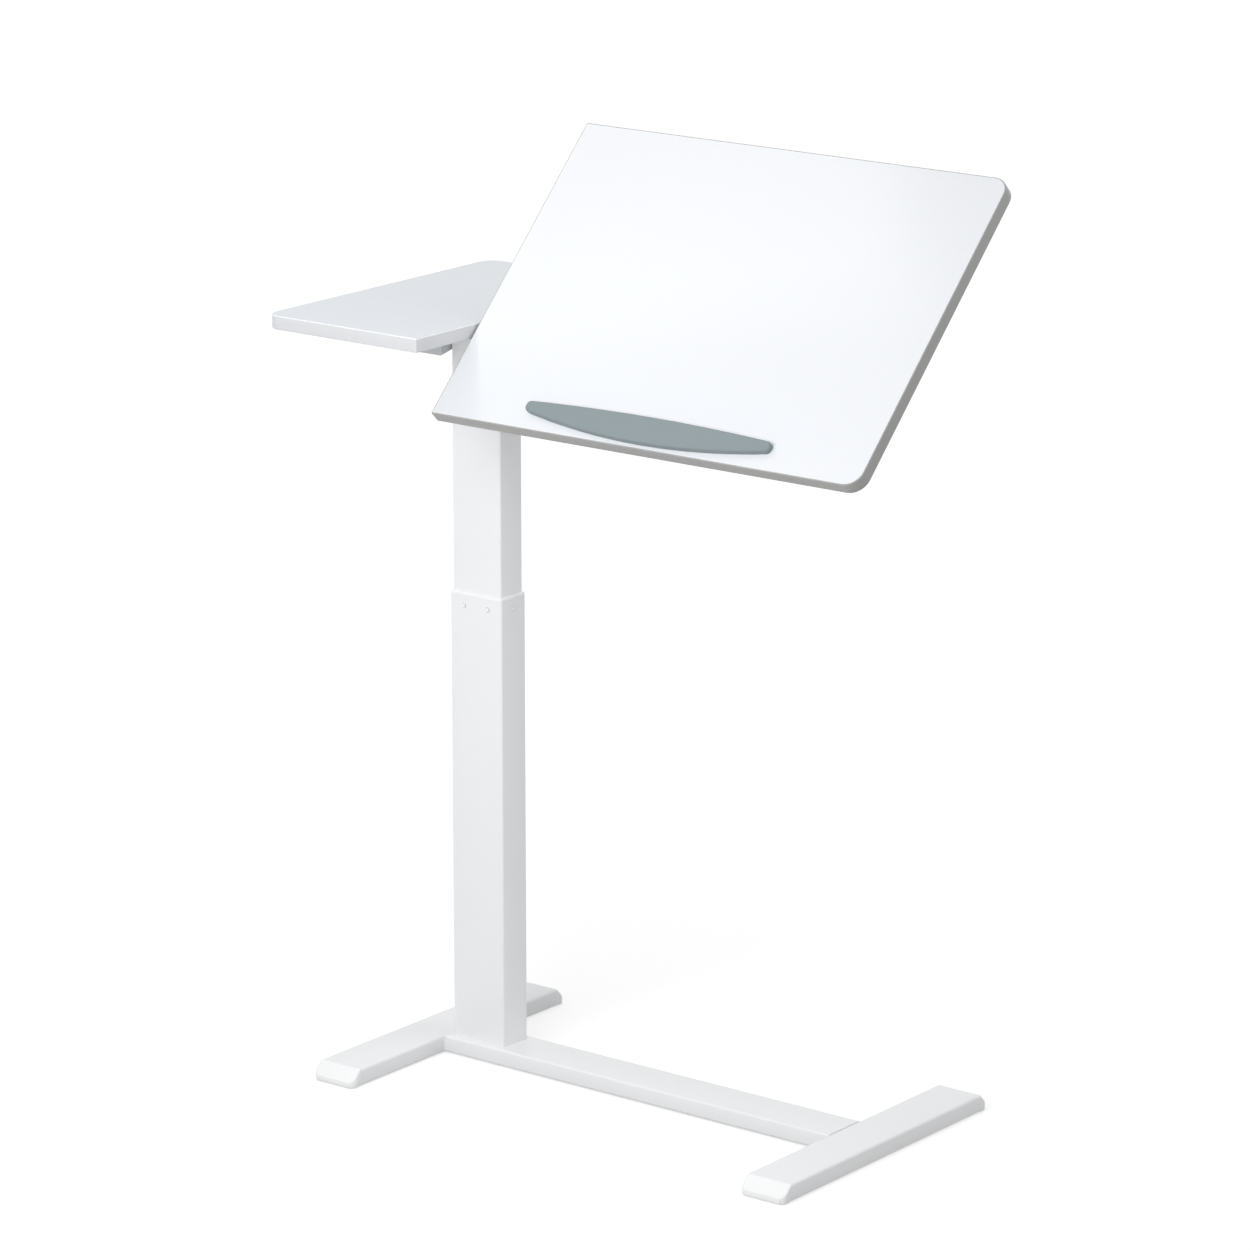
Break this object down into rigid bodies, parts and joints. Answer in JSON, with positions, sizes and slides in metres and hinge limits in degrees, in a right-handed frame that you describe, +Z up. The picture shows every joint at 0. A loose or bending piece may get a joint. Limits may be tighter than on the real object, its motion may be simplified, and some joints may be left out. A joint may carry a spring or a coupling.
{
  "type": "laptop desk",
  "caption": "Height-adjustable laptop desk on one telescopic column, with a tilting main top, a fixed side top and a flat tube base.",
  "frame": {"origin": "on the floor, under the middle of the whole top", "axes": "+Z up, +X along the crossbar from the side top to the main top, -Y towards the user"},
  "size_m": [0.8, 0.4, 1.096],
  "materials": {
    "white_paint": "satin white powder coat",
    "white_plastic": "satin moulded nylon",
    "lever_plastic": "satin moulded plastic",
    "white_lacquer": "gloss white laminate on board",
    "white_edge": "white edge band",
    "grey_edge": "light grey edge band",
    "grey_plastic": "blue-grey soft plastic",
    "black_plastic": "fine-textured black plastic",
    "black_rubber": "matt rubber",
    "zinc_steel": "bright zinc plate",
    "black_steel": "black enamel",
    "bright_steel": "ground and polished steel"
  },
  "bodies": {
    "base": {"left_foot": "white_paint", "right_foot": "white_paint", "crossbar": "white_paint", "left_foot_front_cap": "white_plastic", "left_foot_back_cap": "white_plastic", "right_foot_front_cap": "white_plastic", "right_foot_back_cap": "white_plastic", "joint_tongue": "zinc_steel", "bar_screw_front": "zinc_steel", "bar_screw_back": "zinc_steel", "foot_screw_front": "zinc_steel", "foot_screw_back": "zinc_steel", "column_base_plug": "zinc_steel", "column_bolt_left": "zinc_steel", "column_bolt_right": "zinc_steel", "outer_tube": "white_paint", "upper_guide": "white_plastic", "gas_cylinder": "black_steel"},
    "lift": {"inner_tube": "white_paint", "lower_glide": "white_plastic", "gas_rod": "bright_steel", "rod_bracket": "zinc_steel", "rod_nut": "zinc_steel", "head_plate": "white_paint", "side_top": "white_lacquer", "side_top_edge": "white_edge", "side_screw_front_left": "zinc_steel", "side_screw_front_right": "zinc_steel", "side_screw_back_left": "zinc_steel", "side_screw_back_right": "zinc_steel", "spine": "white_paint", "left_arm": "white_paint", "right_arm": "white_paint", "hinge_rail": "white_paint", "rear_rail": "white_paint", "left_bumper": "black_rubber", "right_bumper": "black_rubber", "left_hinge_fixed_leaf": "zinc_steel", "right_hinge_fixed_leaf": "zinc_steel", "left_hinge_pin": "bright_steel", "right_hinge_pin": "bright_steel", "stay_bracket": "white_paint", "clamp_bolt": "zinc_steel", "clamp_washer": "zinc_steel"},
    "release": {"release_lever": "lever_plastic", "release_shaft": "zinc_steel", "release_finger": "zinc_steel"},
    "valve": {"valve_pin": "bright_steel"},
    "tilting_top": {"main_top": "white_lacquer", "main_top_edge": "grey_edge", "book_stop": "grey_plastic", "stop_screw_left": "zinc_steel", "stop_screw_right": "zinc_steel", "left_hinge_moving_leaf": "zinc_steel", "right_hinge_moving_leaf": "zinc_steel", "stay_quadrant": "zinc_steel", "stay_screw_front": "zinc_steel", "stay_screw_back": "zinc_steel"},
    "knob": {"clamp_knob": "black_plastic"}
  },
  "joints": [
    {"name": "column_lift", "type": "slide", "parent": "base", "child": "lift", "axis": [0, 0, 1], "range_m": [-0.196, 0.204]},
    {"name": "top_tilt", "type": "hinge", "parent": "lift", "child": "tilting_top", "pos_m": [0.1115, -0.086, 0.87935], "axis": [1, 0, 0], "range_deg": [-45.6, 14.4]},
    {"name": "release_lever_turn", "type": "hinge", "parent": "lift", "child": "release", "pos_m": [-0.243, -0.012, 0.862], "axis": [-1, 0, 0], "range_deg": [0, 12], "stiffness_Nm_per_rad": 1.2, "springref_deg": -2.86},
    {"name": "valve_pin_slide", "type": "slide", "parent": "lift", "child": "valve", "axis": [0, 0, -1], "range_m": [0, 0.003]},
    {"name": "clamp_knob_turn", "type": "hinge", "parent": "lift", "child": "knob", "pos_m": [0.205, -0.01082, 0.84187], "axis": [1, 0, 0], "range_deg": [0, 270]}
  ],
  "couplings": [
    {"joint": "valve_pin_slide", "follows": "release_lever_turn", "m_per_rad": 0.014324}
  ]
}
